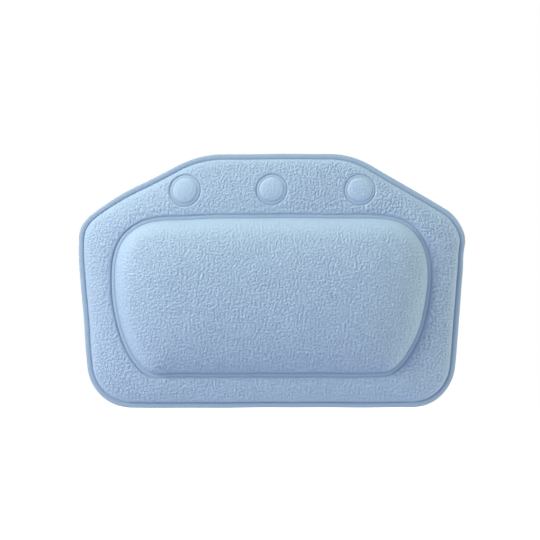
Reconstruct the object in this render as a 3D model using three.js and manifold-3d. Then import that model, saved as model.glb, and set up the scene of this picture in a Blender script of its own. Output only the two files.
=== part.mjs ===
// Bath pillow of welded vinyl: a padded sheet with a raised head panel, held on the tub by three
// suction cups along its top flap. Millimetres, +Z up, the front faces -Y and the tub wall is at Y = 0.
// The origin is the middle cup's axis where its lip meets the wall.

import * as THREE from 'three';
import { mergeVertices } from 'three/addons/utils/BufferGeometryUtils.js';
import Module from 'manifold-3d';

const wasm = await Module();
wasm.setup();

// Outline, by the corners of the hexagon before they are rounded
const HEIGHT = 210;
const TOP_ABOVE_CUPS = 29.8;
const TOP_HALF = 64;
const SHOULDER_HALF = 162;
const SHOULDER_DROP = 55.3;
const BOTTOM_HALF = 149.2;
const TOP_RADIUS = 83;
const SHOULDER_RADIUS = 36;
const BOTTOM_RADIUS = 36.5;

// Welds: the flat rim, the trench round the head panel and the ring round each cup's head
const RIM_WIDTH = 4.4;
const TRENCH_WIDTH = 3.3;
const TRENCH_DIP = 0.7;
const RING_INNER = 10.2;
const RING_OUTER = 12.75;
const RING_DIP = 0.8;
const WELD_THICK = 1.2;

// Head panel, measured to the middle of its trench
const FLAP_HEIGHT = 51.8;
const SIDE_BORDER = 31.5;
const BOTTOM_BORDER = 27.6;
const UPPER_CORNER_WIDE = 51;
const UPPER_CORNER_HIGH = 52;
const UPPER_CORNER_POWER = 2.44;
const LOWER_CORNER_WIDE = 38;
const LOWER_CORNER_POWER = 1.96;

// Padding
const SKIN = 1.5;
const BACK_THICK = 1.2;
const BORDER_RISE = 8;
const BORDER_POWER = 1.8;
const PANEL_RISE = 26;
const PANEL_EDGE_POWER = 2.6;
const PANEL_TOP_POWER = 0.62;
const PANEL_END_DROP = 4;
const DISC_RISE = 2.1;
const DISC_POWER = 2;

// Suction cups
const OUTER_CUP_PAST_CORNER = 8.5;
const STANDOFF = 14;
const CUP_RADIUS = 20;
const CUP_LIP = 2;
const CUP_EDGE = 1;
const CUP_DEPTH = 7.5;
const CUP_BELL = 8.8;
const HUB_RADIUS = 6.2;
const NECK_RADIUS = 4;
const HEAD_RISE = 6;

// Fits and facets
const CLEARANCE = 0.3;
const FOAM_CLEARANCE = 0.6;
const RING_POINTS = 56;
const LATHE_STEPS = 24;
const DOME_STEPS = 2;
const BELL_STEPS = 5;
const FAR = 400;
const PROBE = 0.1;

// Heights count forward from the rear face of the back cover
const BASE = BACK_THICK + CLEARANCE;
const LAND = BASE + WELD_THICK;
const TRENCH_FLOOR = LAND + BORDER_RISE - TRENCH_DIP;
const depth = (height) => -(STANDOFF + height);

const topZ = TOP_ABOVE_CUPS;
const bottomZ = topZ - HEIGHT;
const foldZ = topZ - FLAP_HEIGHT;
const panelBottomZ = bottomZ + BOTTOM_BORDER;
const panelHalf = SHOULDER_HALF - SIDE_BORDER;
const panelMidZ = (foldZ + panelBottomZ) / 2;
const panelReach = (foldZ - panelBottomZ) / 2;
const outerCupX = TOP_HALF + OUTER_CUP_PAST_CORNER;
const cupPlaces = [['left', -outerCupX], ['centre', 0], ['right', outerCupX]];

// Solids

function toSolid(geometry) {
  const bare = geometry.clone();
  bare.deleteAttribute('normal');
  bare.deleteAttribute('uv');
  const merged = mergeVertices(bare, 1e-4);
  const index = Array.from(merged.index.array);
  const triangles = [];
  for (let i = 0; i < index.length; i += 3) {
    const [a, b, c] = index.slice(i, i + 3);
    if (a !== b && b !== c && c !== a) triangles.push(a, b, c);
  }
  return new wasm.Manifold(new wasm.Mesh({
    numProp: 3,
    vertProperties: new Float32Array(merged.attributes.position.array),
    triVerts: new Uint32Array(triangles),
  }));
}

function toGeometry(solid) {
  const mesh = solid.getMesh();
  const geometry = new THREE.BufferGeometry();
  geometry.setAttribute('position', new THREE.BufferAttribute(mesh.vertProperties, 3));
  geometry.setIndex(new THREE.BufferAttribute(mesh.triVerts, 1));
  geometry.computeVertexNormals();
  return geometry;
}

// Skins a row of rings, each with the same number of points. Between two end points the rings make a
// closed body; with no end points the last ring joins the first, as on a tyre. The right half's facets
// mirror the left half's.
function loft(rings, firstPoint, lastPoint) {
  const count = rings[0].length;
  const points = rings.flat();
  const triangles = [];
  const at = (row, i) => row * count + (i % count);
  const strips = firstPoint ? rings.length - 1 : rings.length;
  for (let row = 0; row < strips; row += 1) {
    const next = (row + 1) % rings.length;
    for (let i = 0; i < count; i += 1) {
      const [a, b] = [at(row, i), at(row, i + 1)];
      const [c, d] = [at(next, i), at(next, i + 1)];
      triangles.push(...(i < count / 2 ? [a, c, b, c, d, b] : [a, c, d, a, d, b]));
    }
  }
  if (firstPoint) {
    const first = points.push(firstPoint) - 1;
    const last = points.push(lastPoint) - 1;
    for (let i = 0; i < count; i += 1) {
      triangles.push(first, at(0, i), at(0, i + 1));
      triangles.push(last, at(rings.length - 1, i + 1), at(rings.length - 1, i));
    }
  }
  const geometry = new THREE.BufferGeometry().setFromPoints(points);
  geometry.setIndex(triangles);
  return toSolid(geometry);
}

// A turned form on the Y axis, from radius and height pairs that run from the front to the rear
function lathe(profile) {
  const points = profile.map(([radius, height]) => new THREE.Vector2(radius, -height));
  return new THREE.LatheGeometry(points, LATHE_STEPS);
}

function turned(profile, x) {
  return toSolid(lathe(profile).translate(x, depth(0), 0));
}

function column(radius, x) {
  return turned([[0, FAR], [radius, FAR], [radius, -FAR], [0, -FAR]], x);
}

// Closed curves in the plane of the pillow, as X and Z, anticlockwise from the middle of the top

function roundedOutline() {
  const half = [
    [TOP_HALF, topZ, TOP_RADIUS],
    [SHOULDER_HALF, topZ - SHOULDER_DROP, SHOULDER_RADIUS],
    [BOTTOM_HALF, bottomZ, BOTTOM_RADIUS],
  ];
  const left = half.map(([x, z, r]) => [-x, z, r]);
  const corners = [...left, ...half.toReversed()];
  const shape = new THREE.Shape().moveTo(0, topZ);
  corners.forEach(([x, z, radius], i) => {
    const here = new THREE.Vector2(x, z);
    const [beforeX, beforeZ] = corners.at(i - 1);
    const [afterX, afterZ] = corners[(i + 1) % corners.length];
    const back = new THREE.Vector2(beforeX, beforeZ).sub(here).normalize();
    const on = new THREE.Vector2(afterX, afterZ).sub(here).normalize();
    const halfAngle = Math.acos(back.dot(on)) / 2;
    const centre = back.clone().add(on).setLength(radius / Math.sin(halfAngle)).add(here);
    const run = radius / Math.tan(halfAngle);
    const from = back.multiplyScalar(run).add(here).sub(centre);
    const to = on.multiplyScalar(run).add(here).sub(centre);
    shape.lineTo(centre.x + from.x, centre.y + from.y);
    shape.absarc(centre.x, centre.y, radius, from.angle(), to.angle(), false);
  });
  return shape.closePath();
}

class PanelCorner extends THREE.Curve {
  constructor(centre, wide, high, power, firstQuarter) {
    super();
    Object.assign(this, { centre, wide, high, power, firstQuarter });
  }

  getPoint(t, target = new THREE.Vector2()) {
    const angle = (this.firstQuarter + t) * Math.PI / 2;
    const part = (value) => Math.sign(value) * Math.abs(value) ** (2 / this.power);
    const x = this.wide * part(Math.cos(angle));
    const z = this.high * part(Math.sin(angle));
    return target.set(this.centre.x + x, this.centre.y + z);
  }
}

function panelOutline() {
  const lowerHigh = 2 * panelReach - UPPER_CORNER_HIGH;
  const splitZ = foldZ - UPPER_CORNER_HIGH;
  const corner = (side, wide, high, power, quarter) => {
    const centre = new THREE.Vector2(side * (panelHalf - wide), splitZ);
    return new PanelCorner(centre, wide, high, power, quarter);
  };
  const corners = [
    corner(-1, UPPER_CORNER_WIDE, UPPER_CORNER_HIGH, UPPER_CORNER_POWER, 1),
    corner(-1, LOWER_CORNER_WIDE, lowerHigh, LOWER_CORNER_POWER, 2),
    corner(1, LOWER_CORNER_WIDE, lowerHigh, LOWER_CORNER_POWER, 3),
    corner(1, UPPER_CORNER_WIDE, UPPER_CORNER_HIGH, UPPER_CORNER_POWER, 0),
  ];
  const path = new THREE.CurvePath();
  let from = new THREE.Vector2(0, foldZ);
  for (const curve of corners) {
    path.add(new THREE.LineCurve(from, curve.getPoint(0)));
    path.add(curve);
    from = curve.getPoint(1);
  }
  path.add(new THREE.LineCurve(from, new THREE.Vector2(0, foldZ)));
  return path;
}

const ringOf = (curve) => curve.getSpacedPoints(RING_POINTS).slice(0, RING_POINTS);

function inset(ring, distance) {
  return ring.map((point, i) => {
    const along = ring[(i + 1) % ring.length].clone().sub(ring.at(i - 1)).normalize();
    return new THREE.Vector2(point.x - along.y * distance, point.y + along.x * distance);
  });
}

// Moves each point of a ring a set distance towards its partner on another ring
function towards(ring, other, distance) {
  return ring.map((point, i) => {
    const way = other[i].clone().sub(point);
    return way.length() > distance ? way.setLength(distance).add(point) : other[i].clone();
  });
}

const outline = roundedOutline();
const edgeRing = ringOf(outline);
const rimCrease = inset(edgeRing, RIM_WIDTH);
const trenchMiddle = ringOf(panelOutline());
const trenchOuter = inset(trenchMiddle, -TRENCH_WIDTH / 2);
const trenchInner = inset(trenchMiddle, TRENCH_WIDTH / 2);

function lift(ring, height) {
  return ring.map((p) => new THREE.Vector3(p.x, depth(height), p.y));
}

// Padded forms: the border, which falls from a crest beside the trench to the rim, and the head panel

const borderSteps = [0, 0.07, 0.4, 0.7, 0.9, 0.975, 1];
const borderFillSteps = [0, 0.5, 0.9, 1];
const quarterArc = (t, power) => (1 - (1 - t) ** power) ** (1 / power);
const borderHeight = (s) => (
  s > 0 ? LAND + BORDER_RISE * quarterArc(1 - s, BORDER_POWER) : TRENCH_FLOOR
);
const borderRing = (s) => trenchOuter.map((p, i) => p.clone().lerp(rimCrease[i], s));

const panelSteps = [0.16, 0.4, 0.62, 0.8, 0.91, 0.975, 1];
const panelFillSteps = [0.4, 0.75, 0.91, 1];
const spineShare = 1 - panelReach / panelHalf;

function panelRing(t) {
  return trenchInner.map((p) => new THREE.Vector2(
    p.x * (t + (1 - t) * spineShare),
    panelMidZ + (p.y - panelMidZ) * t,
  ));
}

function panelHeight(t, x) {
  const rise = PANEL_RISE - PANEL_END_DROP * (x / panelHalf) ** 2;
  return TRENCH_FLOOR + rise * (1 - t ** PANEL_EDGE_POWER) ** PANEL_TOP_POWER;
}

function coverForm() {
  const panel = panelSteps.map((t) => panelRing(t).map((p) => (
    new THREE.Vector3(p.x, depth(panelHeight(t, p.x)), p.y)
  )));
  const border = borderSteps.map((s) => lift(borderRing(s), borderHeight(s)));
  const crownPoint = new THREE.Vector3(0, depth(panelHeight(0, 0)), panelMidZ);
  const basePoint = new THREE.Vector3(0, depth(BASE), panelMidZ);
  return loft([...panel, ...border, lift(edgeRing, LAND), lift(edgeRing, BASE)], crownPoint, basePoint);
}

// What lies under the border's skin, drawn in from the welds and dropped below the outer form
function borderFill(drawnIn, base) {
  const middle = borderRing(0.5);
  const top = borderFillSteps.map((s) => {
    const height = Math.max(borderHeight(s) - drawnIn, BASE);
    return lift(towards(borderRing(s), middle, drawnIn), height);
  });
  const foot = [top.at(-1), top[0]].map((ring) => ring.map((p) => p.clone().setY(depth(base))));
  return loft(base === BASE ? [...top, foot[1]] : [...top, ...foot]);
}

function panelFill(drawnIn, base) {
  const shift = drawnIn / panelReach;
  const top = panelFillSteps.map((t) => panelRing(t - shift).map((p) => {
    const height = Math.max(panelHeight(t, p.x) - drawnIn, BASE);
    return new THREE.Vector3(p.x, depth(height), p.y);
  }));
  const foot = top.at(-1).map((p) => p.clone().setY(depth(base)));
  const crownHeight = panelHeight(panelSteps[0], 0) - drawnIn;
  const crownPoint = new THREE.Vector3(0, depth(crownHeight), panelMidZ);
  const basePoint = new THREE.Vector3(0, depth(base), panelMidZ);
  return loft([...top, foot], crownPoint, basePoint);
}

// Cup heads under the flap: a sunk ring round a low disc, with a pocket for the head behind it

function dome(radius, rise, base) {
  const steps = Array.from({ length: DOME_STEPS }, (_, i) => i / DOME_STEPS);
  return steps.map((t) => [radius * t, base + rise * (1 - t ** DISC_POWER) ** (1 / DISC_POWER)]);
}

const pocketRadius = RING_INNER - SKIN;
const pocketRise = HEAD_RISE + CLEARANCE;
const ringWall = RING_OUTER + 2 * SKIN;

function heightAt(form, x, z) {
  const probe = new THREE.BoxGeometry(PROBE, 2 * FAR, PROBE).translate(x, 0, z);
  return -STANDOFF - form.intersect(toSolid(probe)).boundingBox().min[1];
}

// The disc leans with the border it stands on
function disc(form, x) {
  const [left, right] = [-RING_INNER, RING_INNER].map((d) => heightAt(form, x + d, 0));
  const [low, high] = [-RING_INNER, RING_INNER].map((d) => heightAt(form, x, d));
  const run = 2 * RING_INNER;
  const facing = new THREE.Vector3((left - right) / run, -1, (low - high) / run).normalize();
  const lean = new THREE.Quaternion().setFromUnitVectors(new THREE.Vector3(0, -1, 0), facing);
  const floor = (left + right + low + high) / 4 - RING_DIP;
  const profile = [
    ...dome(RING_INNER, DISC_RISE, 0),
    [RING_INNER, 0],
    [RING_INNER, -RING_DIP],
    [0, -RING_DIP],
  ];
  return toSolid(lathe(profile).applyQuaternion(lean).translate(x, depth(floor), 0));
}

function headPocket(x) {
  const head = dome(pocketRadius, pocketRise, BASE);
  return turned([...head, [pocketRadius, BASE], [pocketRadius, 0], [0, 0]], x);
}

function frontCover() {
  const form = coverForm();
  const sunk = form.translate([0, RING_DIP, 0]);
  let hollow = borderFill(SKIN, 0);
  for (const [, x] of cupPlaces) hollow = hollow.subtract(column(ringWall, x));
  let cover = form.subtract(hollow).subtract(panelFill(SKIN, 0));
  for (const [, x] of cupPlaces) {
    const above = column(RING_OUTER, x).subtract(sunk);
    cover = cover.subtract(above).add(disc(form, x)).subtract(headPocket(x));
  }
  return cover;
}

function borderFoam() {
  let foam = borderFill(SKIN + FOAM_CLEARANCE, BASE);
  for (const [, x] of cupPlaces) foam = foam.subtract(column(ringWall + FOAM_CLEARANCE, x));
  return foam;
}

function backCover() {
  const sheet = new THREE.Shape(outline.getSpacedPoints(2 * RING_POINTS));
  for (const [, x] of cupPlaces) {
    const hole = new THREE.Path().absarc(x, 0, NECK_RADIUS + CLEARANCE, 0, 2 * Math.PI);
    sheet.holes.push(hole);
  }
  const settings = { depth: BACK_THICK, bevelEnabled: false, curveSegments: LATHE_STEPS };
  const geometry = new THREE.ExtrudeGeometry(sheet, settings);
  return toSolid(geometry.rotateX(Math.PI / 2).translate(0, -STANDOFF, 0));
}

// One soft moulding: the head under the flap, a neck through the back cover and the cup behind it
function suctionCup() {
  const quarter = Array.from({ length: BELL_STEPS + 1 }, (_, i) => (i / BELL_STEPS) * Math.PI / 2);
  const headRadius = pocketRadius - CLEARANCE;
  const lipHeight = -STANDOFF;
  const bell = quarter.map((a) => [
    HUB_RADIUS + (CUP_RADIUS - HUB_RADIUS) * Math.sin(a),
    lipHeight + CUP_EDGE + CUP_BELL * Math.cos(a),
  ]);
  const hollow = quarter.map((a) => [
    (CUP_RADIUS - CUP_LIP) * Math.sin(a),
    lipHeight + CUP_DEPTH * Math.cos(a),
  ]);
  return turned([
    ...dome(headRadius, HEAD_RISE, BASE),
    [headRadius, BASE],
    [NECK_RADIUS, BASE],
    [NECK_RADIUS, -CLEARANCE],
    [HUB_RADIUS, -CLEARANCE],
    ...bell,
    [CUP_RADIUS, lipHeight],
    ...hollow.toReversed(),
  ], 0);
}

// The sheet folds back along the top of the panel's trench, so what crosses that line is cut there
function splitAtFold(solid) {
  const keep = (way) => {
    const box = new THREE.BoxGeometry(2 * FAR, 2 * FAR, 2 * FAR);
    const middle = foldZ - way * (FAR - CLEARANCE / 2);
    return solid.subtract(toSolid(box.translate(0, 0, middle)));
  };
  return { flap: keep(1), pillow: keep(-1) };
}

// Materials and the assembly

function vinyl(color) {
  return new THREE.MeshStandardMaterial({ color, roughness: 0.55, metalness: 0 });
}

function sponge(color) {
  return new THREE.MeshStandardMaterial({ color, roughness: 0.95, metalness: 0 });
}

function clearVinyl() {
  return new THREE.MeshStandardMaterial({
    color: 0xdfe8ee, roughness: 0.12, metalness: 0, transparent: true, opacity: 0.45,
  });
}

function piece(name, solid, material) {
  const mesh = new THREE.Mesh(toGeometry(solid), material);
  mesh.name = name;
  return mesh;
}

const COVER_BLUE = 0x9fbbdc;
const BACK_BLUE = 0xa9c3e0;
const SPONGE_WHITE = 0xf1efe6;

const cover = splitAtFold(frontCover());
const foam = splitAtFold(borderFoam());
const back = splitAtFold(backCover());

const flap = new THREE.Group();
flap.add(piece('flap_front_cover', cover.flap, vinyl(COVER_BLUE)));
flap.add(piece('flap_foam', foam.flap, sponge(SPONGE_WHITE)));
flap.add(piece('flap_back_cover', back.flap, vinyl(BACK_BLUE)));
for (const [side, x] of cupPlaces) {
  const cup = piece(`suction_cup_${side}`, suctionCup(), clearVinyl());
  cup.position.x = x;
  flap.add(cup);
}

const pillow = new THREE.Group();
pillow.add(piece('front_cover', cover.pillow, vinyl(COVER_BLUE)));
pillow.add(piece('border_foam', foam.pillow, sponge(SPONGE_WHITE)));
pillow.add(piece('pillow_core', panelFill(SKIN + FOAM_CLEARANCE, BASE), sponge(SPONGE_WHITE)));
pillow.add(piece('back_cover', back.pillow, vinyl(BACK_BLUE)));

const bathPillow = new THREE.Group();
bathPillow.add(flap, pillow);

export default bathPillow;
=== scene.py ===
import math

import bpy
import numpy as np
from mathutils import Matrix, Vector
from mathutils.geometry import delaunay_2d_cdt
from mathutils.kdtree import KDTree


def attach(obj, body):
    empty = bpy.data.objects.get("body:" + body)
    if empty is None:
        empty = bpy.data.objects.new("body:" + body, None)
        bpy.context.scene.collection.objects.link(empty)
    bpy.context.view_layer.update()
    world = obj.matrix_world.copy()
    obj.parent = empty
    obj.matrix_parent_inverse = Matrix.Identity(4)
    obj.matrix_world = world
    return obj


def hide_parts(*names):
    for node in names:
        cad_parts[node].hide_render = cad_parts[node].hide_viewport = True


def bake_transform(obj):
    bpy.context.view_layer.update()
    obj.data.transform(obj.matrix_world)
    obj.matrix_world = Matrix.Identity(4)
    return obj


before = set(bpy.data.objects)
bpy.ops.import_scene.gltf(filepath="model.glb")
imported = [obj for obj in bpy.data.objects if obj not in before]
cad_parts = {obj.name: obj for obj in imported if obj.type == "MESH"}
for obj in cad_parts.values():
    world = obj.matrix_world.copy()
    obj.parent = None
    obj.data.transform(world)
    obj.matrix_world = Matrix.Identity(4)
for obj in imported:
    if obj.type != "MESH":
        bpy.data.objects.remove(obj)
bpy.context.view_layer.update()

MM = 0.001
TINY = 1e-9
ROUND = 2  # power of a true arc

# Sizes are in millimetres. Heights count forward from the rear face of the back cover, which is at
# Y = -STANDOFF, and plane points are (x, z). A FADE is where something starts and where it is whole.

# The sheet's outline and its flat rim
STANDOFF = 14.0
CORNERS = (  # x, z and rounding of the sheet's corners, anticlockwise from the upper left
    (-61.2, 29.6, 84.0),
    (-162.5, -24.9, 40.0),
    (-149.4, -180.5, 37.0),
    (149.3, -179.8, 36.0),
    (161.8, -26.2, 33.0),
    (66.2, 30.0, 70.0),
)
ARC_POINTS = 80
RIM_WIDTH = 4.4
RIM_LAND = 2.7
RIM_ROUND = 0.5  # how far its cut edge is rounded down
RIM_ROUND_FADE = (-0.1, 0.9)
BASE = 1.5
SKIN = 1.5

# Head panel, to the middle of its trench
FOLD_Z = -22.0
PANEL_BOTTOM_Z = -152.6
PANEL_HALF = 130.5
UPPER_CORNER = (51.0, 52.0, 2.44)  # width, height and power of the corner's curve
LOWER_CORNER = (38.0, 78.6, 1.96)
CURVE_POINTS = 200
PANEL_MID_Z = (FOLD_Z + PANEL_BOTTOM_Z) / 2
PANEL_REACH = (FOLD_Z - PANEL_BOTTOM_Z) / 2
SPLIT_Z = FOLD_Z - UPPER_CORNER[1]
SPINE_SHARE = 1 - PANEL_REACH / PANEL_HALF
TRENCH_HALF = 1.6
TRENCH_DIP = 1.15  # its floor below the border's crest
TRENCH_TILT = 0.2  # how far the floor's inner edge stands above its middle
TRENCH_ROLL = 1.7

# How the photographed sheet differs from an even one
X_WAVES = ((0.2, 17.0, math.inf, 0.6), (0.12, 7.3, 60.0, 0.0))  # height, length, slant and start
Z_WAVES = ((0.14, 23.0, math.inf, 1.1), (0.08, 9.1, 50.0, 0.0))
STRAYS = (  # x, z, reach and shift along x and z
    (-88.0, -24.0, 28.0, 0.2, -1.6),
    (112.0, -33.0, 16.0, 0.5, 1.3),
    (129.0, -98.0, 20.0, -1.7, 0.0),
    (112.0, -135.0, 25.0, -1.9, 1.8),
    (-103.0, -149.0, 14.0, 0.2, -1.4),
    (-118.0, 0.0, 15.0, -0.4, 0.8),
    (-144.0, -15.0, 10.0, 0.5, -1.0),
    (-160.0, -30.0, 8.0, -0.8, 0.0),
    (-160.0, -46.0, 10.0, 1.1, 0.0),
    (160.0, -38.0, 8.0, 0.7, 0.0),
    (160.0, -54.0, 8.0, -0.6, 0.0),
    (153.0, -127.0, 22.0, 0.6, 0.0),
)

# Padding
BORDER_RISE = 8.0
BORDER_POWER = 1.8
CREST_DROP = 0.9
CREST_FADE = (0.62, 1.2)  # where the border sinks again past its crest, as shares of its width
PANEL_RISE = 26.0
PANEL_EDGE_POWER = 2.6
PANEL_TOP_POWER = 0.62
PANEL_END_DROP = 4.0
PANEL_FADE = (3.0, 18.0)  # from a form that follows the trench to one that follows the whole panel
LUMP_HEIGHT = 0.16
FRONT_LUMPS = {"wide": 13.0, "bend": 1.7, "bend_high": 19.0, "high": 11.0, "start": 0.4, "slant": 0.0}

# Welded discs over the heads of the cups
CUPS = (("left", -72.5), ("centre", 0.0), ("right", 72.5))
CUP_MIDDLES = tuple(x for _, x in CUPS)
DISC_MIDDLES = (-71.2, 0.1, 72.6)
RING_INNER = 10.2
RING_OUTER = 12.75
RING_DIP = 0.4
RING_ROLL = 1.6
DISC_RISE = 2.0
DISC_POWER = 2.0

# Grooves where a weld begins, and how much of the weld's darker colour its parts have; on the groove
# lines that colour is painted shade in the creases
RIM_GROOVE = 0.75
TRENCH_GROOVE = 0.6
PANEL_GROOVE = 0.4
RING_GROOVE = 0.8
DISC_GROOVE = 0.2
GROOVE_WIDE = 0.5
RING_GROOVE_WIDE = 0.45
# The weld's darker colour along the groove lines: painted shade in the creases
GROOVE_SHADE = 0.95
FLOOR_TONE = 0.5
FLOOR_TONE_FADE = (-0.2, 0.6)
RIM_TONE_FADE = (-0.2, 0.5)

# Back cover
BACK_THICK = 1.2
REAR_BULGE = 1.3
BULGE_RUN = 7.0  # how far from a weld most of the bulge is reached
BULGE_CLEAR = 8.0  # how far past a ring the bulge is whole
BULGE_SLACK = 0.35
REAR_LUMPS = {"wide": 15.0, "bend": 1.3, "bend_high": 21.0, "high": 12.0, "start": 0.0, "slant": 0.02}
REAR_PRESS = 0.25
REAR_PRESS_FADE = (-0.4, 0.8)
NECK_HOLE = 4.3
HUB_FADE = (7.0, 9.0)

# Suction cups
CUP_RADIUS = 20.0
CUP_EDGE = 1.0
CUP_SIDES = 96
HEAD_RADIUS = 8.4
HEAD_RISE = 6.0
HEAD_POINTS = 14
NECK_RADIUS = 4.0
NECK_END = -0.3
HUB_RADIUS = 6.2
HUB_EDGE = ((-0.5, -0.35), (-0.1, -0.6))  # radius past the hub's, and height
BELL_RISE = 8.8
BELL_POINTS = 22
LIP_ROUND = 0.4
HOLLOW_RADIUS = 18.0
HOLLOW_RISE = 7.5
HOLLOW_POINTS = 18

# Sponge, clear of the sheets round it
SPONGE_GAP = 0.4
SPONGE_EDGE = 1.2
SPONGE_BOTTOM = BACK_THICK + SPONGE_GAP
SPONGE_LEAST_TOP = BACK_THICK + 3 * SPONGE_GAP
FLAP_CUT = FOLD_Z + 5.5
PILLOW_CUT = FOLD_Z - 3.0

# Grain pressed into the vinyl: a tile of ridges
GRAIN_SEED = 11
GRAIN_COUNT = 1024  # points along the tile's side
GRAIN_SPACING = 0.4
GRAIN_SIZE = GRAIN_COUNT * GRAIN_SPACING
GRAIN_PITCH = 3.3
GRAIN_OPENS = (0.6, 0.8)  # where its band starts and ends, in cycles a pitch
GRAIN_CLOSES = (1.5, 2.0)
GRAIN_EVEN = 0.45  # strength in all directions, then what upright and level ridges have on top
GRAIN_UPRIGHT = 0.8
GRAIN_LEVEL = 0.75
GRAIN_LOBE_POWER = 6
GRAIN_SLANT = 0.25
GRAIN_CONTRAST = 1.3
GRAIN_DEPTH = 0.4
GRAIN_STRETCH = 0.65
GRAIN_STRETCH_RUN = 14.0

# How much of the grain shows on each part of the sheet
WELD_GRAIN_FADE = (0.3, 2.0)
RING_GRAIN_FADE = (0.3, 1.8)
DISC_GRAIN = 0.4
BACK_GRAIN = 0.35
BORDER_GRAIN = 0.65
BORDER_GRAIN_GAIN = 0.3
BORDER_GRAIN_FADE = (1.0, 7.0)
BORDER_LEAN = 0.0018  # how much stronger it is per millimetre to the right
BORDER_LEAN_FADE = (-160.0, -120.0)
WALL_GRAIN = 0.75
WALL_GRAIN_FADE = (2.0, 6.0)
LEFT_DRAWN = 0.75  # how tight the panel's left wall is drawn, where its top wall is 1
DRAWN_LOSS = 0.5
DRAWN_RUN = 12.0

# Front mesh: rows at distances from a crease and from the cut edge, and at radii round a disc
LEAST_POINTS = 12
LINE_STEP = 0.2
ROW_STEP = 0.9
RING_STEP = 0.65
FIELD_STEP = 0.78
CREASE_ROWS = (-0.7, -0.35, 0.0, 0.35, 0.7, 1.3, 2.1)
RIM_ROWS = (0.4, 1.2, 2.4, *(RIM_WIDTH + d for d in CREASE_ROWS))
RIM_ROWS_BY_DISC = (RIM_WIDTH, RIM_WIDTH + 0.4)
TRENCH_ROWS = (0.0, *(TRENCH_HALF + d for d in CREASE_ROWS))
RING_ROWS = (
    7.9, 8.7, 9.4, 9.9, RING_INNER, 10.6, 11.2, 11.8,
    12.2, 12.5, RING_OUTER, 13.0, 13.3, 13.7, 14.3, 15.1,
)
RINGS_START = 7.4
RINGS_END = 16.0
RING_EDGE_GAP = 0.5
FIELD_GAP = 2.8
UNDER_STEP = 4.0
UNDER_GAP = 1.0
UNDER_EDGE_STEP = 3.0
UNDER_EDGE_GAP = 0.5

# Back mesh
BACK_STEP = 1.6
HOLE_STEP = 0.7
BACK_RING_STEP = 1.2
BACK_FIELD_STEP = 2.2
BACK_RIM_ROWS = (1.6, 3.0, RIM_WIDTH, RIM_WIDTH + 0.8, RIM_WIDTH + 2.2)
BACK_TRENCH_ROWS = (-3.6, -2.4, -TRENCH_HALF, 0.0, TRENCH_HALF, 2.4, 3.6)
BACK_RING_ROWS = (5.4, 7.0, 9.0, RING_INNER, 11.5, RING_OUTER, 14.0)
BACK_ROW_GAP = 0.7
BACK_ROW_EDGE = 1.0
BACK_FIELD_GAP = 1.5
BACK_FIELD_EDGE = 1.4
BACK_HOLE_CLEAR = 5.0

# Sponge meshes
SPONGE_STEP = 3.0
SPONGE_FIELD_GAP = 0.6 * SPONGE_STEP
SPONGE_EDGE_STEP = 2.4
SPONGE_HOLE_STEP = 2.0

# Settings of the searches and of the triangulation
BISECTIONS = 36
LEAST_SHARE = 1e-4
INSIDE_WITH_HOLES = 2  # delaunay_2d_cdt's kind of output
MERGE_DISTANCE = 1e-6
TRIANGLE_HEIGHT = math.sqrt(0.75)


def unit(v):
    return v / np.linalg.norm(v, axis=-1, keepdims=True)


def smooth(low, high, value):
    t = np.clip((value - low) / (high - low), 0, 1)
    return t * t * (3 - 2 * t)


def quarter_arc(t, power):
    """Rises from 0 to 1 as t does, upright at first and level at the end."""
    return (1 - (1 - np.clip(t, 0, 1)) ** power) ** (1 / power)


def resampled(loop, step):
    """A closed loop as points an even distance apart."""
    closed = np.vstack([loop, loop[:1]])
    run = np.concatenate([[0.0], np.cumsum(np.linalg.norm(np.diff(closed, axis=0), axis=1))])
    at = np.linspace(0.0, run[-1], max(LEAST_POINTS, round(run[-1] / step)), endpoint=False)
    return np.stack([np.interp(at, run, closed[:, k]) for k in (0, 1)], axis=1)


def beside(loop, distance):
    """An anticlockwise loop moved inward by a distance, or outward by a negative one."""
    along = np.roll(loop, -1, axis=0) - np.roll(loop, 1, axis=0)
    along /= np.linalg.norm(along, axis=1, keepdims=True)
    return loop + distance * np.stack([-along[:, 1], along[:, 0]], axis=1)


def circle(x, radius, step):
    count = max(LEAST_POINTS, round(2 * math.pi * radius / step))
    turn = np.linspace(0, 2 * math.pi, count, endpoint=False)
    return np.stack([x + radius * np.cos(turn), radius * np.sin(turn)], axis=1)


def tree_of(points):
    tree = KDTree(len(points))
    for k, (x, z) in enumerate(points):
        tree.insert((x, z, 0), k)
    tree.balance()
    return tree


# The sheet's outline: straight sides joined by arcs
CORNER_AT = np.array([c[:2] for c in CORNERS])
CORNER_RADIUS = np.array([c[2] for c in CORNERS])
CORNER_BACK = unit(np.roll(CORNER_AT, 1, axis=0) - CORNER_AT)
CORNER_ON = unit(np.roll(CORNER_AT, -1, axis=0) - CORNER_AT)
CORNER_HALF = np.arccos((CORNER_BACK * CORNER_ON).sum(axis=1)) / 2
CORNER_DEPTH = CORNER_RADIUS / np.sin(CORNER_HALF)
CORNER_CENTRE = CORNER_AT + unit(CORNER_BACK + CORNER_ON) * CORNER_DEPTH[:, None]


def sheet_outline():
    points = []
    for i, radius in enumerate(CORNER_RADIUS):
        run = radius / math.tan(CORNER_HALF[i])
        first = CORNER_AT[i] + CORNER_BACK[i] * run - CORNER_CENTRE[i]
        last = CORNER_AT[i] + CORNER_ON[i] * run - CORNER_CENTRE[i]
        a, b = math.atan2(first[1], first[0]), math.atan2(last[1], last[0])
        b += 2 * math.pi if b < a else 0
        turn = np.linspace(a, b, ARC_POINTS)
        points.append(CORNER_CENTRE[i] + radius * np.stack([np.cos(turn), np.sin(turn)], axis=1))
    return np.vstack(points)


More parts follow.
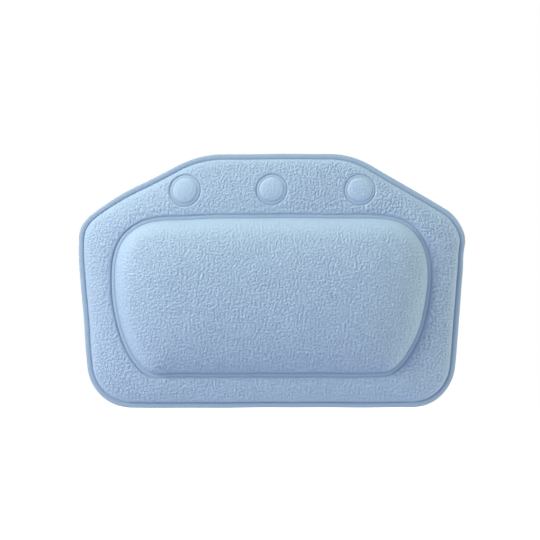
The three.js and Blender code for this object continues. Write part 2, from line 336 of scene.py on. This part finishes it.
def from_edge(p):
    """How far each point is inside the sheet's outline."""
    inward = np.stack([-CORNER_ON[:, 1], CORNER_ON[:, 0]], axis=1)
    inside = np.min([(p - CORNER_AT[i]) @ inward[i] for i in range(len(CORNERS))], axis=0)
    for i, radius in enumerate(CORNER_RADIUS):
        q = p - CORNER_CENTRE[i]
        wedge = (q @ CORNER_BACK[i] < 0) & (q @ CORNER_ON[i] < 0)
        inside = np.where(wedge, radius - np.linalg.norm(q, axis=1), inside)
    return inside


def panel_outline():
    """The middle line of the trench round the head panel."""
    points = []
    quarters = ((-1, UPPER_CORNER, 1), (-1, LOWER_CORNER, 2), (1, LOWER_CORNER, 3), (1, UPPER_CORNER, 0))
    for side, (wide, high, power), quarter in quarters:
        turn = (quarter + np.linspace(0, 1, CURVE_POINTS)) * math.pi / 2
        c, s = np.cos(turn), np.sin(turn)
        x = side * (PANEL_HALF - wide) + wide * np.sign(c) * np.abs(c) ** (2 / power)
        z = SPLIT_Z + high * np.sign(s) * np.abs(s) ** (2 / power)
        points.append(np.stack([x, z], axis=1))
    return np.vstack(points)


EDGE = resampled(sheet_outline(), ROW_STEP)
TRENCH = resampled(panel_outline(), ROW_STEP)
TRENCH_LINE = resampled(panel_outline(), LINE_STEP)
TRENCH_TREE = tree_of(TRENCH_LINE)


def outside_panel(x, z):
    """Below 0 inside the trench's middle line, above 0 outside it."""
    wide = np.where(z > SPLIT_Z, UPPER_CORNER[0], LOWER_CORNER[0])
    high = np.where(z > SPLIT_Z, UPPER_CORNER[1], LOWER_CORNER[1])
    power = np.where(z > SPLIT_Z, UPPER_CORNER[2], LOWER_CORNER[2])
    u = np.maximum(np.abs(x) - (PANEL_HALF - wide), 0) / wide
    return u ** power + (np.abs(z - SPLIT_Z) / high) ** power - 1


def from_trench(p):
    """The distance from each point to the trench's middle line, and the unit vector away from it."""
    nearest = np.array([TRENCH_TREE.find((x, z, 0))[1] for x, z in p.tolist()])
    away = p - TRENCH_LINE[nearest]
    distance = np.linalg.norm(away, axis=1)
    return distance, away / np.maximum(distance, TINY)[:, None]


def panel_share(p):
    """1 on the trench's middle line, falling to 0 on the spine of the panel."""
    low, high = np.full(len(p), LEAST_SHARE), np.ones(len(p))
    for _ in range(BISECTIONS):
        t = (low + high) / 2
        x = p[:, 0] / (t + (1 - t) * SPINE_SHARE)
        z = PANEL_MID_Z + (p[:, 1] - PANEL_MID_Z) / t
        out = outside_panel(x, z) > 0
        low, high = np.where(out, t, low), np.where(out, high, t)
    return (low + high) / 2


def from_middles(points, middles):
    """Distance from the nearest of some middles, which all lie on the X axis."""
    return np.min([np.hypot(points[:, 0] - x, points[:, 1]) for x in middles], axis=0)


class Plane:
    """What the forms need to know about a set of points of the plane."""

    def __init__(self, points):
        self.at = points
        self.rim = from_edge(points) - RIM_WIDTH
        distance, self.away = from_trench(points)
        self.panel = outside_panel(points[:, 0], points[:, 1]) < 0
        self.trench = distance - TRENCH_HALF
        self.inward = np.clip(np.where(self.panel, distance, -distance) / TRENCH_HALF, -1, 1)
        self.disc = from_middles(points, DISC_MIDDLES)
        self.ring = np.abs(self.disc - (RING_INNER + RING_OUTER) / 2) - (RING_OUTER - RING_INNER) / 2
        self.weld = np.minimum(np.minimum(self.rim, self.trench), self.ring)
        self.share = np.ones(len(points))
        self.share[self.panel] = panel_share(points[self.panel])


def crease(distance, wide=GROOVE_WIDE):
    """1 on the line where a weld begins, falling to 0 on both sides of it."""
    return np.exp(-(distance / wide) ** 2)


def front_height(plane):
    """The front cover's height over the plane, without its lumps and grain."""
    rim, trench = np.maximum(plane.rim, 0), np.maximum(plane.trench, 0)
    across = rim / np.maximum(rim + trench, TINY)
    border = RIM_LAND + BORDER_RISE * quarter_arc(across, BORDER_POWER)
    border -= CREST_DROP * smooth(*CREST_FADE, across)
    floor = RIM_LAND + BORDER_RISE - TRENCH_DIP + TRENCH_TILT * plane.inward
    rolled = floor + (border - floor) * quarter_arc(trench / TRENCH_ROLL, ROUND)
    border = np.where(trench < TRENCH_ROLL, rolled, border)

    near = 1 - trench / (PANEL_REACH - TRENCH_HALF)
    share = np.clip(near + (plane.share - near) * smooth(*PANEL_FADE, trench), 0, 1)
    rise = PANEL_RISE - PANEL_END_DROP * (plane.at[:, 0] / PANEL_HALF) ** 2
    panel = floor + rise * (1 - share ** PANEL_EDGE_POWER) ** PANEL_TOP_POWER

    ring = border - RING_DIP
    inside = np.clip(plane.disc / RING_INNER, 0, 1)
    dome = ring + DISC_RISE * (1 - inside ** DISC_POWER) ** (1 / DISC_POWER)
    field = ring + RING_DIP * quarter_arc((plane.disc - RING_OUTER) / RING_ROLL, ROUND)
    flap = np.where(plane.disc < RING_INNER, dome, np.where(plane.disc < RING_OUTER, ring, field))

    height = np.where(plane.panel, panel, flap)
    height = np.where(plane.trench <= 0, floor, height)
    height = np.where(plane.rim <= 0, RIM_LAND, height)
    groove = np.where(plane.panel, PANEL_GROOVE, TRENCH_GROOVE)
    height = height - RIM_GROOVE * crease(plane.rim) - groove * crease(plane.trench)
    height = height - DISC_GROOVE * crease(plane.disc - RING_INNER)
    return height - RING_GROOVE * crease(plane.disc - RING_OUTER, RING_GROOVE_WIDE)


def rear_height(plane):
    """The back cover bulges a little between its welds and is drawn flat round the cups' necks."""
    bulge = REAR_BULGE * (1 - np.exp(-np.maximum(plane.weld, 0) / BULGE_RUN))
    bulge *= 1 + BULGE_SLACK * lumps(plane.at, **REAR_LUMPS)
    bulge *= smooth(RING_OUTER, RING_OUTER + BULGE_CLEAR, plane.disc)
    pressed = REAR_PRESS * (1 - smooth(*REAR_PRESS_FADE, plane.weld))
    return pressed * smooth(*HUB_FADE, plane.disc) - bulge


def lumps(points, wide, bend, bend_high, high, start, slant):
    """Soft lumps between -1 and 1, in rows that bend."""
    x, z = points[:, 0], points[:, 1]
    return np.sin(x / wide + bend * np.sin(z / bend_high)) * np.sin(z / high + start + slant * x)


def waves(table, along, across):
    made = np.zeros(len(along))
    for height, length, slant, start in table:
        made += height * np.sin(along / length + across / slant + start)
    return made


def uneven(points):
    """Points of the plane moved by the unevenness of a hand-trimmed sheet and of its welds."""
    x, z = points[:, 0], points[:, 1]
    dx, dz = waves(X_WAVES, z, x), waves(Z_WAVES, x, z)
    for at_x, at_z, reach, shift_x, shift_z in STRAYS:
        near = np.exp(-((x - at_x) ** 2 + (z - at_z) ** 2) / reach ** 2)
        dx += shift_x * near
        dz += shift_z * near
    return points + np.stack([dx, dz], axis=1)


def grain_tile():
    """A tile of worm-like ridges that mostly stand upright or lie level."""
    white = np.random.default_rng(GRAIN_SEED).standard_normal((GRAIN_COUNT, GRAIN_COUNT))
    fz = np.fft.fftfreq(GRAIN_COUNT, GRAIN_SPACING)[:, None]
    fx = np.fft.rfftfreq(GRAIN_COUNT, GRAIN_SPACING)[None, :]
    pitch = np.hypot(fx, fz) * GRAIN_PITCH
    angle = np.arctan2(fz, fx)
    band = smooth(*GRAIN_OPENS, pitch) * (1 - smooth(*GRAIN_CLOSES, pitch))
    upright = GRAIN_UPRIGHT * np.cos(angle) ** GRAIN_LOBE_POWER
    level = GRAIN_LEVEL * np.sin(angle) ** GRAIN_LOBE_POWER
    lobes = (GRAIN_EVEN + upright + level) * (1 - GRAIN_SLANT * np.sin(2 * angle))
    field = np.fft.irfft2(np.fft.rfft2(white) * band * lobes, white.shape)
    return np.tanh(GRAIN_CONTRAST * field / field.std())


GRAIN = grain_tile()


def grain_at(p):
    """The tile's value at points of the plane, between its own points."""
    at = (p / GRAIN_SIZE % 1.0) * GRAIN_COUNT
    first = np.floor(at).astype(int)
    part = at - first
    x0, z0 = first[:, 0] % GRAIN_COUNT, first[:, 1] % GRAIN_COUNT
    x1, z1 = (x0 + 1) % GRAIN_COUNT, (z0 + 1) % GRAIN_COUNT
    low = GRAIN[z0, x0] * (1 - part[:, 0]) + GRAIN[z0, x1] * part[:, 0]
    high = GRAIN[z1, x0] * (1 - part[:, 0]) + GRAIN[z1, x1] * part[:, 0]
    return low * (1 - part[:, 1]) + high * part[:, 1]


def drawn_grain(plane):
    """The grain's ridges, drawn out up the walls beside the trench."""
    trench = np.maximum(plane.trench, 0)
    drawn = GRAIN_STRETCH * trench * np.exp(-trench / GRAIN_STRETCH_RUN)
    return grain_at(plane.at - plane.away * drawn[:, None])


def grain_share(plane):
    """How much of the grain is left: none on the welds, less where the sheet is drawn tight."""
    top, left = np.maximum(-plane.away[:, 1], 0), np.maximum(plane.away[:, 0], 0)
    drawn = np.minimum(top + LEFT_DRAWN * left, 1)
    least = WALL_GRAIN - DRAWN_LOSS * drawn
    start, end = WALL_GRAIN_FADE
    panel = least + (1 - least) * smooth(start, end + DRAWN_RUN * drawn, plane.trench)
    border = BORDER_GRAIN + BORDER_GRAIN_GAIN * smooth(*BORDER_GRAIN_FADE, plane.rim)
    border *= 1 + BORDER_LEAN * plane.at[:, 0] * smooth(*BORDER_LEAN_FADE, plane.at[:, 1])
    share = smooth(*WELD_GRAIN_FADE, plane.rim) * smooth(*WELD_GRAIN_FADE, plane.trench)
    share *= np.where(plane.panel, panel, border)
    share *= smooth(*RING_GRAIN_FADE, plane.ring)
    return share * np.where(plane.disc < RING_INNER, DISC_GRAIN, 1.0)


def weld_tone_and_groove_shade(plane):
    """1 on the rim and part of that on the floors of the trench and rings, as the welds' own darker
    colour; nearly 1 on the grooves, as painted shade in the creases; 0 on the padding.
    """
    rim = 1 - smooth(*RIM_TONE_FADE, plane.rim)
    floors = FLOOR_TONE * (1 - smooth(*FLOOR_TONE_FADE, np.minimum(plane.trench, plane.ring)))
    ring_groove = crease(plane.disc - RING_OUTER, RING_GROOVE_WIDE)
    # Painted shade: the groove lines of the trench and rings get the weld's darker colour
    painted_groove_shade = GROOVE_SHADE * np.maximum(crease(plane.trench), ring_groove)
    return np.max([rim, floors, painted_groove_shade], axis=0)


def triangles_of(points, loops):
    """Delaunay triangles of plane points. The first loop of indices bounds them, the others are holes."""
    edges = []
    for loop in loops:
        edges += [(loop[i], loop[(i + 1) % len(loop)]) for i in range(len(loop))]
    corners = [Vector(p) for p in points.tolist()]
    made = delaunay_2d_cdt(corners, edges, [], INSIDE_WITH_HOLES, MERGE_DISTANCE)
    if len(made[0]) != len(points):
        raise RuntimeError("a plane point was merged or added")
    faces = np.array(made[2])
    a, b, c = (points[faces[:, k]] for k in range(3))
    turn = (b[:, 0] - a[:, 0]) * (c[:, 1] - a[:, 1]) - (b[:, 1] - a[:, 1]) * (c[:, 0] - a[:, 0])
    faces[turn < 0] = faces[turn < 0][:, ::-1]
    return faces


def triangle_grid(step):
    """Points of an even triangular grid over the sheet's box."""
    rows = np.arange(CORNER_AT[:, 1].min(), CORNER_AT[:, 1].max(), step * TRIANGLE_HEIGHT)
    line = np.arange(CORNER_AT[:, 0].min(), CORNER_AT[:, 0].max(), step)
    return np.vstack([np.stack([line + (k % 2) * step / 2, np.full(len(line), z)], axis=1)
                      for k, z in enumerate(rows)])


def clear_of(points, rows, gap):
    """The points that are farther than a gap from every row."""
    tree = tree_of(rows)
    return points[[tree.find((x, z, 0))[2] > gap for x, z in points.tolist()]]


def in_space(points, height):
    return np.stack([points[:, 0], -(STANDOFF + height), points[:, 1]], axis=1)


def normals_of(points, faces):
    a, b, c = (points[faces[:, k]] for k in range(3))
    n = np.cross(b - a, c - a)
    out = np.zeros_like(points)
    for k in range(3):
        np.add.at(out, faces[:, k], n)
    return unit(out)


def new_mesh(name, points, faces):
    mesh = bpy.data.meshes.new(name)
    mesh.from_pydata((points * MM).tolist(), [], faces)
    mesh.validate()
    mesh.polygons.foreach_set("use_smooth", [True] * len(mesh.polygons))
    piece = bpy.data.objects.new(name, mesh)
    bpy.context.scene.collection.objects.link(piece)
    return piece


def point_values(piece, name, values):
    layer = piece.data.attributes.new(name, "FLOAT", "POINT")
    layer.data.foreach_set("value", np.asarray(values, np.float32))


def front_points():
    """The front cover's points of the plane: its edge, rows along every weld, and a grid."""
    rim = np.vstack([beside(EDGE, d) for d in RIM_ROWS])
    rim = rim[from_middles(rim, DISC_MIDDLES) > RINGS_END]
    by_disc = np.vstack([beside(EDGE, d) for d in RIM_ROWS_BY_DISC])
    by_disc = by_disc[from_middles(by_disc, DISC_MIDDLES) <= RINGS_END]
    both_sides = sorted({*TRENCH_ROWS, *(-d for d in TRENCH_ROWS)})
    trench = np.vstack([beside(TRENCH, d) for d in both_sides])
    rings = np.vstack([circle(x, radius, RING_STEP) for x in DISC_MIDDLES for radius in RING_ROWS])
    rings = rings[from_edge(rings) > RIM_WIDTH + RING_EDGE_GAP]
    field = triangle_grid(FIELD_STEP)
    field = field[from_edge(field) > RIM_WIDTH + FIELD_GAP]
    field = field[from_trench(field)[0] > TRENCH_HALF + FIELD_GAP]
    disc = from_middles(field, DISC_MIDDLES)
    field = field[(disc < RINGS_START) | (disc > RINGS_END)]
    return np.vstack([EDGE, rim, by_disc, trench, rings, field])


def make_front():
    count = len(EDGE)
    bound = [list(range(count))]
    points = front_points()
    faces = triangles_of(points, bound)
    plane = Plane(points)
    share = grain_share(plane)
    ridge = drawn_grain(plane) * share
    height = front_height(plane)
    height -= RIM_ROUND * (1 - smooth(*RIM_ROUND_FADE, from_edge(points)))
    height += LUMP_HEIGHT * lumps(points, **FRONT_LUMPS) * share
    top = in_space(uneven(points), height)
    top += normals_of(top, faces) * (GRAIN_DEPTH * ridge)[:, None]

    field = triangle_grid(UNDER_STEP)
    field = field[from_edge(field) > RIM_WIDTH + UNDER_GAP]
    row = beside(resampled(EDGE, UNDER_EDGE_STEP), RIM_WIDTH + UNDER_EDGE_GAP)
    under_points = np.vstack([EDGE, row, field])
    under_faces = triangles_of(under_points, bound)
    under_plane = Plane(under_points)
    hollow = np.maximum(front_height(under_plane) - SKIN, BASE)
    under_height = np.where(under_plane.weld > SKIN, hollow, BASE)
    under_height[:count] = BASE
    under = in_space(uneven(under_points), under_height)

    below = len(top)
    sides = [(i, below + i, below + (i + 1) % count, (i + 1) % count) for i in range(count)]
    every = faces.tolist() + (under_faces[:, ::-1] + below).tolist() + sides
    piece = new_mesh("front_cover_sheet", np.vstack([top, under]), every)
    bare = np.zeros(len(under))
    # weld holds the welds' own darker colour and painted shade on the groove lines
    for name, values in (("weld", weld_tone_and_groove_shade(plane)), ("grain", share), ("ridge", ridge)):
        point_values(piece, name, np.concatenate([values, bare]))
    return piece


def slab(name, loops, field, upper, lower):
    """A closed solid over a part of the plane, and its Plane. Loops after the first are holes."""
    points = np.vstack([*loops, field])
    starts = np.cumsum([0] + [len(loop) for loop in loops])
    rings = [list(range(a, b)) for a, b in zip(starts, starts[1:])]
    faces = triangles_of(points, rings)
    plane = Plane(points)
    count = len(points)
    sides = [(ring[i], count + ring[i], count + ring[(i + 1) % len(ring)], ring[(i + 1) % len(ring)])
             for ring in rings for i in range(len(ring))]
    every = faces.tolist() + (faces[:, ::-1] + count).tolist() + sides
    flat = uneven(points)
    both = np.vstack([in_space(flat, upper(plane)), in_space(flat, lower(plane))])
    return new_mesh(name, both, every), plane


def back_front_height(plane):
    return rear_height(plane) + BACK_THICK


def make_back():
    outer = resampled(sheet_outline(), BACK_STEP)
    trench = resampled(panel_outline(), BACK_STEP)
    holes = [circle(x, NECK_HOLE, HOLE_STEP)[::-1] for x in CUP_MIDDLES]
    rings = [circle(x, radius, BACK_RING_STEP) for x in CUP_MIDDLES for radius in BACK_RING_ROWS]
    rows = np.vstack(rings + [beside(trench, d) for d in BACK_TRENCH_ROWS])
    rim = clear_of(np.vstack([beside(outer, d) for d in BACK_RIM_ROWS]), rows, BACK_ROW_GAP)
    rows = np.vstack([rows, rim])
    rows = rows[from_edge(rows) > BACK_ROW_EDGE]
    field = triangle_grid(BACK_FIELD_STEP)
    field = field[from_edge(field) > BACK_FIELD_EDGE]
    field = clear_of(field, np.vstack([rows, *holes]), BACK_FIELD_GAP)
    field = field[from_middles(field, CUP_MIDDLES) > BACK_HOLE_CLEAR]
    inside = np.vstack([rows, field])
    piece, plane = slab("back_cover_sheet", [outer, *holes], inside, back_front_height, rear_height)
    point_values(piece, "weld", np.tile(weld_tone_and_groove_shade(plane), 2))
    point_values(piece, "grain", BACK_GRAIN * np.tile(grain_share(plane), 2))
    return piece


def in_loops(p, loops):
    """Whether a point is inside an odd number of loops."""
    crossings = 0
    for loop in loops:
        a, b = loop, np.roll(loop, -1, axis=0)
        spans = (a[:, 1] > p[1]) != (b[:, 1] > p[1])
        x = a[:, 0] + (p[1] - a[:, 1]) / np.where(spans, b[:, 1] - a[:, 1], 1) * (b[:, 0] - a[:, 0])
        crossings += np.count_nonzero(spans & (x > p[0]))
    return crossings % 2 == 1


def run_below(loop, z):
    """The part of an anticlockwise loop below a level, from its left crossing to its right one."""
    low = loop[:, 1] < z
    start = np.where(low & ~np.roll(low, 1))[0][0]
    turned = np.roll(loop, -start, axis=0)
    return turned[:np.count_nonzero(low)]


def sponge_top(plane):
    return np.maximum(front_height(plane) - SKIN - SPONGE_GAP, SPONGE_LEAST_TOP)


def sponge_bottom(plane):
    return np.full(len(plane.at), SPONGE_BOTTOM)


def make_sponge(name, loops):
    field = triangle_grid(SPONGE_STEP)
    field = field[[in_loops(p, loops) for p in field]]
    field = clear_of(field, np.vstack(loops), SPONGE_FIELD_GAP)
    piece, _ = slab(name, loops, field, sponge_top, sponge_bottom)
    return piece


def make_sponges():
    edge = beside(resampled(sheet_outline(), SPONGE_EDGE_STEP), RIM_WIDTH + SPONGE_EDGE)
    trench = resampled(panel_outline(), SPONGE_EDGE_STEP)
    below = run_below(edge, PILLOW_CUT)
    round_panel = run_below(beside(trench, -(TRENCH_HALF + SPONGE_EDGE)), PILLOW_CUT)
    above = run_below(edge * [1, -1], -FLAP_CUT) * [1, -1]
    head_hole = RING_OUTER + 2 * SPONGE_GAP
    heads = [circle(x, head_hole, SPONGE_HOLE_STEP)[::-1] for x in DISC_MIDDLES]
    return (
        make_sponge("flap_sponge", [above[::-1], *heads]),
        make_sponge("border_sponge", [np.vstack([below, round_panel[::-1]])]),
        make_sponge("core_sponge", [beside(trench, TRENCH_HALF + SPONGE_EDGE)]),
    )


def ellipse_quarter(inner, foot, wide, rise, count):
    """Radius and height along a quarter of an ellipse, from its top out and down to its foot."""
    turn = np.linspace(0, math.pi / 2, count)
    return [(inner + wide * math.sin(a), foot + rise * math.cos(a)) for a in turn]


def cup_profile():
    """Radius and height of a cup, from the middle of its head round to the middle of its hollow."""
    dome = ellipse_quarter(0, BASE, HEAD_RADIUS, HEAD_RISE, HEAD_POINTS)
    hub = [(NECK_RADIUS, NECK_END), *((HUB_RADIUS + past, height) for past, height in HUB_EDGE)]
    wide = CUP_RADIUS - HUB_RADIUS
    bell = ellipse_quarter(HUB_RADIUS, CUP_EDGE - STANDOFF, wide, BELL_RISE, BELL_POINTS)
    lip = [(CUP_RADIUS, LIP_ROUND - STANDOFF), (CUP_RADIUS - LIP_ROUND, -STANDOFF)]
    hollow = ellipse_quarter(0, -STANDOFF, HOLLOW_RADIUS, HOLLOW_RISE, HOLLOW_POINTS)
    return dome + hub + bell + lip + hollow[::-1]


def make_cup(name, x):
    profile = cup_profile()
    count = CUP_SIDES
    turn = np.linspace(0, 2 * math.pi, count, endpoint=False)
    points = [(x, -(STANDOFF + profile[0][1]), 0)]
    for r, h in profile[1:-1]:
        points += [(x + r * math.cos(t), -(STANDOFF + h), r * math.sin(t)) for t in turn]
    points.append((x, -(STANDOFF + profile[-1][1]), 0))
    last = len(points) - 1
    faces = [(0, 1 + i, 1 + (i + 1) % count) for i in range(count)]
    for k in range(len(profile) - 3):
        a, b = 1 + k * count, 1 + (k + 1) * count
        faces += [(a + i, b + i, b + (i + 1) % count, a + (i + 1) % count) for i in range(count)]
    a = 1 + (len(profile) - 3) * count
    faces += [(a + i, last, a + (i + 1) % count) for i in range(count)]
    return new_mesh("cup_" + name, np.array(points), faces)


# Materials
MIX_A, MIX_B, MIX_OUT = 6, 7, 2  # sockets of a Mix node that mixes colours
CLOUD_TINT = (0.97, 0.98, 0.99)
# How much the pebbles add to the painted shade in the grain's pits
PEBBLE_SHADE = 0.8


def material(name):
    made = bpy.data.materials.new(name)
    made.use_nodes = True
    tree = made.node_tree
    return made, tree, tree.nodes["Principled BSDF"]


def node(tree, kind, links=None, **values):
    """A new node, with values for its sockets or its own settings, and links from other sockets."""
    made = tree.nodes.new(kind)
    for key, value in values.items():
        if key in made.inputs:
            made.inputs[key].default_value = value
        else:
            setattr(made, key, value)
    for key, source in (links or {}).items():
        tree.links.new(source, made.inputs[key])
    return made


def attribute(tree, name):
    return node(tree, "ShaderNodeAttribute", attribute_name=name).outputs["Fac"]


def noise(tree, place, **values):
    return node(tree, "ShaderNodeTexNoise", {"Vector": place}, **values).outputs["Fac"]


def remap(tree, source, to, given=(0.0, 1.0), **values):
    """A value with its given range taken to another one."""
    ends = {"From Min": given[0], "From Max": given[1], "To Min": to[0], "To Max": to[1]}
    return node(tree, "ShaderNodeMapRange", {"Value": source}, **ends, **values).outputs["Result"]


def mixed(tree, factor, first, second):
    made = node(tree, "ShaderNodeMix", {"Factor": factor}, data_type="RGBA")
    made.inputs[MIX_A].default_value = (*first, 1)
    made.inputs[MIX_B].default_value = (*second, 1)
    return made.outputs[MIX_OUT]


def vinyl(name, field_colour, weld_colour):
    """Embossed vinyl: darker on its welds, with painted highlight on the ridges of its grain and painted
    shade in its pits and pebbles, and pebbled all over.
    """
    made, tree, shader = material(name)
    place = node(tree, "ShaderNodeTexCoord").outputs["Object"]
    # The weld attribute darkens the welds by their own colour and paints shade along the groove lines
    sheet = mixed(tree, attribute(tree, "weld"), field_colour, weld_colour)
    cloud = noise(tree, place, Scale=28.0, Detail=3.0)
    shade = node(tree, "ShaderNodeMix", {"Factor": cloud, MIX_A: sheet}, data_type="RGBA",
                 blend_type="MULTIPLY")
    shade.inputs[MIX_B].default_value = (*CLOUD_TINT, 1)

    small = noise(tree, place, Scale=820.0, Detail=1.0, Roughness=0.5)
    pebble = remap(tree, small, (0.0, 1.0), (0.35, 0.65), interpolation_type="SMOOTHSTEP")
    grain, ridge = attribute(tree, "grain"), attribute(tree, "ridge")
    pressed = node(tree, "ShaderNodeMath", {0: pebble, 1: grain}, operation="MULTIPLY").outputs["Value"]
    # Painted light and shade: the grain's ridges are coloured lighter, its pits and pebbles darker
    painted_light_level = node(tree, "ShaderNodeMath", {0: pressed, 2: ridge}, operation="MULTIPLY_ADD")
    painted_light_level.inputs[1].default_value = PEBBLE_SHADE
    painted_light_factor = remap(tree, painted_light_level.outputs["Value"], (0.87, 1.14), (-1.0, 1.8))
    toned = node(tree, "ShaderNodeVectorMath", {0: shade.outputs[MIX_OUT], 1: painted_light_factor},
                 operation="MULTIPLY")
    tree.links.new(toned.outputs["Vector"], shader.inputs["Base Color"])

    pebbles = node(tree, "ShaderNodeBump", {"Height": pressed}, Strength=1.0, Distance=0.0004)
    fine = noise(tree, place, Scale=1700.0, Detail=4.0, Roughness=0.6)
    bump = node(tree, "ShaderNodeBump", {"Height": fine, "Normal": pebbles.outputs["Normal"]},
                Strength=0.25, Distance=0.00012)
    tree.links.new(bump.outputs["Normal"], shader.inputs["Normal"])
    tree.links.new(remap(tree, fine, (0.48, 0.62)), shader.inputs["Roughness"])
    shader.inputs["Specular IOR Level"].default_value = 0.35
    return made


def sponge_foam():
    made, tree, shader = material("sponge")
    place = node(tree, "ShaderNodeTexCoord").outputs["Object"]
    cells = node(tree, "ShaderNodeTexVoronoi", {"Vector": place}, Scale=900.0).outputs["Distance"]
    shade = mixed(tree, cells, (0.5, 0.47, 0.38), (0.83, 0.8, 0.7))
    tree.links.new(shade, shader.inputs["Base Color"])
    bump = node(tree, "ShaderNodeBump", {"Height": cells}, Strength=0.7, Distance=0.0006)
    tree.links.new(bump.outputs["Normal"], shader.inputs["Normal"])
    shader.inputs["Roughness"].default_value = 0.95
    return made


def clear_pvc():
    made, tree, shader = material("clear_vinyl")
    place = node(tree, "ShaderNodeTexCoord").outputs["Object"]
    haze = noise(tree, place, Scale=60.0, Detail=2.0)
    tree.links.new(remap(tree, haze, (0.08, 0.22)), shader.inputs["Roughness"])
    shader.inputs["Base Color"].default_value = (0.9, 0.95, 0.96, 1)
    shader.inputs["Transmission Weight"].default_value = 0.9
    shader.inputs["IOR"].default_value = 1.5
    return made


# The pieces
front = make_front()
back = make_back()
flap_sponge, border_sponge, core_sponge = make_sponges()
cups = {name: make_cup(name, x) for name, x in CUPS}
cover_vinyl = vinyl("cover_vinyl", (0.338, 0.459, 0.656), (0.285, 0.392, 0.558))
back_vinyl = vinyl("back_vinyl", (0.32, 0.43, 0.6), (0.29, 0.395, 0.56))
foam = sponge_foam()
pvc = clear_pvc()

front.data.materials.append(cover_vinyl)
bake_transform(front)
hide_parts("front_cover", "flap_front_cover")

back.data.materials.append(back_vinyl)
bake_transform(back)
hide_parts("back_cover", "flap_back_cover")
shape = sheet_outline()

sponges = (
    (flap_sponge, "flap", "flap_foam"),
    (border_sponge, "pillow", "border_foam"),
    (core_sponge, "pillow", "pillow_core"),
)
for piece, body, node_name in sponges:
    piece.data.materials.append(foam)
    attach(piece, body)
    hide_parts(node_name)

for name, piece in cups.items():
    piece.data.materials.append(pvc)
    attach(piece, "cup_" + name)
    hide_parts("suction_cup_" + name)

# Stage, light and camera, in metres
FLOOR_Z = -0.45
FLOOR_RADIUS = 3.0
FLOOR_SIDES = 96
MIDDLE = (-0.00122, -0.0165, -0.0662)
LAMPS = (  # name, place, size, power and colour
    ("key_top", (-0.3, -0.24, 1.1), 0.5, 8.1, (0.95, 1, 0.67)),
    ("key_left", (-1.0, -0.64, 0.36), 0.6, 12.9, (1, 0.97, 0.81)),
    ("edge_right", (1.2, -0.2, -0.05), 0.5, 6.6, (1, 0.97, 0.46)),
    ("rear", (0.75, 0.95, 0.75), 0.5, 11, (1, 1, 0.96)),
)
FRAME_WIDTH = 0.447  # what the photograph takes in at the pillow's middle
LENS = 100
SENSOR_WIDTH = 36

floor_turn = np.linspace(0, 2 * math.pi, FLOOR_SIDES, endpoint=False)
floor_points = [(FLOOR_RADIUS * math.cos(t), FLOOR_RADIUS * math.sin(t), FLOOR_Z) for t in floor_turn]
floor_mesh = bpy.data.meshes.new("floor")
floor_mesh.from_pydata(floor_points, [], [tuple(range(FLOOR_SIDES))])
floor = bpy.data.objects.new("floor", floor_mesh)
bpy.context.scene.collection.objects.link(floor)
paint, _, paint_shader = material("floor_paint")
paint_shader.inputs["Base Color"].default_value = (0.92, 0.92, 0.92, 1)
paint_shader.inputs["Roughness"].default_value = 0.9
paint_shader.inputs["Emission Color"].default_value = (1, 1, 1, 1)
paint_shader.inputs["Emission Strength"].default_value = 0.85
floor.visible_diffuse = False
floor_mesh.materials.append(paint)

# A white backdrop, and softer, bluish light from it that is weaker from above
world = bpy.data.worlds.new("studio")
world.use_nodes = True
sky = world.node_tree
backdrop = sky.nodes["Background"]
backdrop.inputs["Color"].default_value = (1, 1, 1, 1)
backdrop.inputs["Strength"].default_value = 1.0
direction = node(sky, "ShaderNodeTexCoord").outputs["Generated"]
upward = node(sky, "ShaderNodeSeparateXYZ", {"Vector": direction}).outputs["Z"]
strength = remap(sky, upward, (0.84, 0.44), (-1.0, 1.0))
ambient = node(sky, "ShaderNodeBackground", {"Strength": strength}, Color=(0.93, 0.975, 1.09, 1))
seen = node(sky, "ShaderNodeLightPath").outputs["Is Camera Ray"]
either = node(sky, "ShaderNodeMixShader", {"Fac": seen, 1: ambient.outputs[0], 2: backdrop.outputs[0]})
sky.links.new(either.outputs[0], sky.nodes["World Output"].inputs["Surface"])
bpy.context.scene.world = world
bpy.context.scene.view_settings.view_transform = "Standard"

for name, place, size, power, colour in LAMPS:
    light = bpy.data.lights.new(name, "AREA")
    light.shape = "DISK"
    light.size = size
    light.energy = power
    light.color = colour
    lamp = bpy.data.objects.new(name, light)
    lamp.location = place
    lamp.rotation_euler = (Vector(MIDDLE) - Vector(place)).to_track_quat("-Z", "Y").to_euler()
    bpy.context.scene.collection.objects.link(lamp)

camera_data = bpy.data.cameras.new("camera")
camera_data.lens = LENS
camera_data.sensor_width = SENSOR_WIDTH
camera = bpy.data.objects.new("camera", camera_data)
camera.location = (MIDDLE[0], MIDDLE[1] - FRAME_WIDTH * LENS / SENSOR_WIDTH, MIDDLE[2])
camera.rotation_euler = (math.pi / 2, 0, 0)
bpy.context.scene.collection.objects.link(camera)
bpy.context.scene.camera = camera
